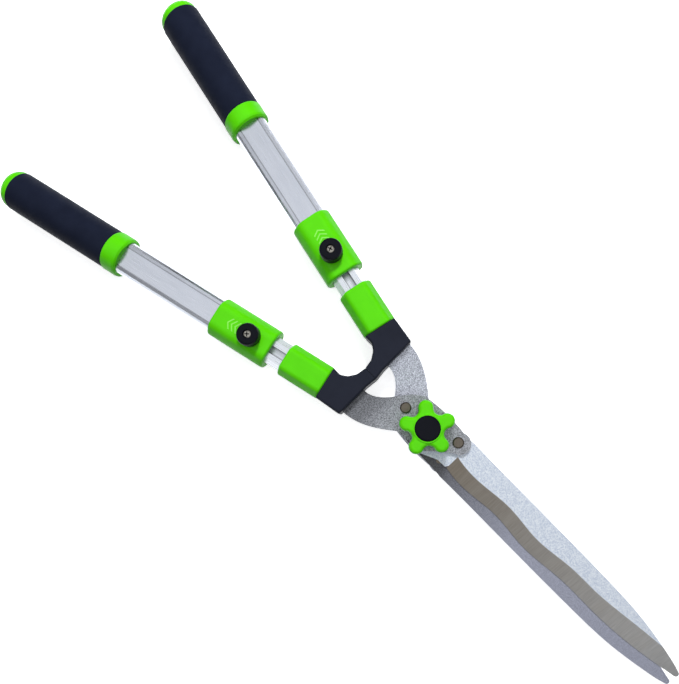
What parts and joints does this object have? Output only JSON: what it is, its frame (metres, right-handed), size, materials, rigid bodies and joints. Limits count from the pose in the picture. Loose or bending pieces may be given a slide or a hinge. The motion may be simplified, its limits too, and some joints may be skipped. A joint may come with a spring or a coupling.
{
  "type": "hedge shears",
  "caption": "Telescopic hedge shears with wavy blades, a star-shaped tension knob and lockable extending handles with padded grips.",
  "frame": {"origin": "on the pivot axis, in the shear plane between the two blades", "axes": "+X along the closed blades towards their tips, +Z along the pivot axis towards the star knob, +Y towards the handle of the lower blade"},
  "size_m": [0.6371, 0.225, 0.0434],
  "materials": {
    "green_plastic": "satin moulded ABS, lime green",
    "charcoal_plastic": "fine-textured glass-filled nylon",
    "knob_plastic": "satin",
    "guide_plastic": "plain",
    "grip_rubber": "soft satin elastomer",
    "tube_aluminium": "satin anodised, drawn lengthwise",
    "blade_steel": "non-stick textured coat, ground bevel",
    "tang_steel": "fine hammered silver coat",
    "rivet_steel": "brownish cut steel",
    "zinc_screw": "zinc plated",
    "bright_screw": "nickel plated",
    "spring_steel": "plain"
  },
  "bodies": {
    "lower_half": {"right_blade": "blade_steel", "right_tang": "tang_steel", "right_blade_rivets": "rivet_steel", "right_fork": "charcoal_plastic", "right_fork_screw": "zinc_screw", "right_inner_tube": "tube_aluminium", "right_lower_sleeve": "green_plastic", "right_tube_guide": "guide_plastic", "pivot_bolt": "zinc_screw", "pivot_washer": "zinc_screw", "spring_washer": "spring_steel"},
    "right_telescope": {"right_outer_tube": "tube_aluminium", "right_lock_sleeve": "green_plastic", "right_sleeve_screw": "zinc_screw", "right_lock_spring": "spring_steel", "right_collar": "green_plastic", "right_grip": "grip_rubber", "right_end_cap": "green_plastic"},
    "right_lock": {"right_lock_knob": "knob_plastic", "right_lock_pin": "zinc_screw", "right_knob_screw": "bright_screw"},
    "upper_half": {"left_blade": "blade_steel", "left_tang": "tang_steel", "left_blade_rivets": "rivet_steel", "left_fork": "charcoal_plastic", "left_fork_screw": "zinc_screw", "left_inner_tube": "tube_aluminium", "left_lower_sleeve": "green_plastic", "left_tube_guide": "guide_plastic"},
    "left_telescope": {"left_outer_tube": "tube_aluminium", "left_lock_sleeve": "green_plastic", "left_sleeve_screw": "zinc_screw", "left_lock_spring": "spring_steel", "left_collar": "green_plastic", "left_grip": "grip_rubber", "left_end_cap": "green_plastic"},
    "left_lock": {"left_lock_knob": "knob_plastic", "left_lock_pin": "zinc_screw", "left_knob_screw": "bright_screw"},
    "star": {"star_knob": "green_plastic", "star_nut": "zinc_screw", "star_cap": "knob_plastic"}
  },
  "joints": [
    {"name": "blade_pivot", "type": "hinge", "parent": "lower_half", "child": "upper_half", "pos_m": [0, 0, 0], "axis": [0, 0, 1], "range_deg": [0, 45]},
    {"name": "right_handle_slide", "type": "slide", "parent": "lower_half", "child": "right_telescope", "axis": [-0.9755, 0.2198, 0], "range_m": [0, 0.2]},
    {"name": "right_lock_pull", "type": "slide", "parent": "right_telescope", "child": "right_lock", "axis": [0, 0, 1], "range_m": [0, 0.0035], "stiffness_N_per_m": 1500, "springref_m": -0.002, "deforming": ["right_lock_spring"]},
    {"name": "left_handle_slide", "type": "slide", "parent": "upper_half", "child": "left_telescope", "axis": [-0.9755, -0.2198, 0], "range_m": [0, 0.2]},
    {"name": "left_lock_pull", "type": "slide", "parent": "left_telescope", "child": "left_lock", "axis": [0, 0, 1], "range_m": [0, 0.0035], "stiffness_N_per_m": 1500, "springref_m": -0.002, "deforming": ["left_lock_spring"]},
    {"name": "star_turn", "type": "hinge", "parent": "lower_half", "child": "star", "pos_m": [0, 0, 0], "axis": [0, 0, 1], "range_deg": [0, 180]}
  ]
}
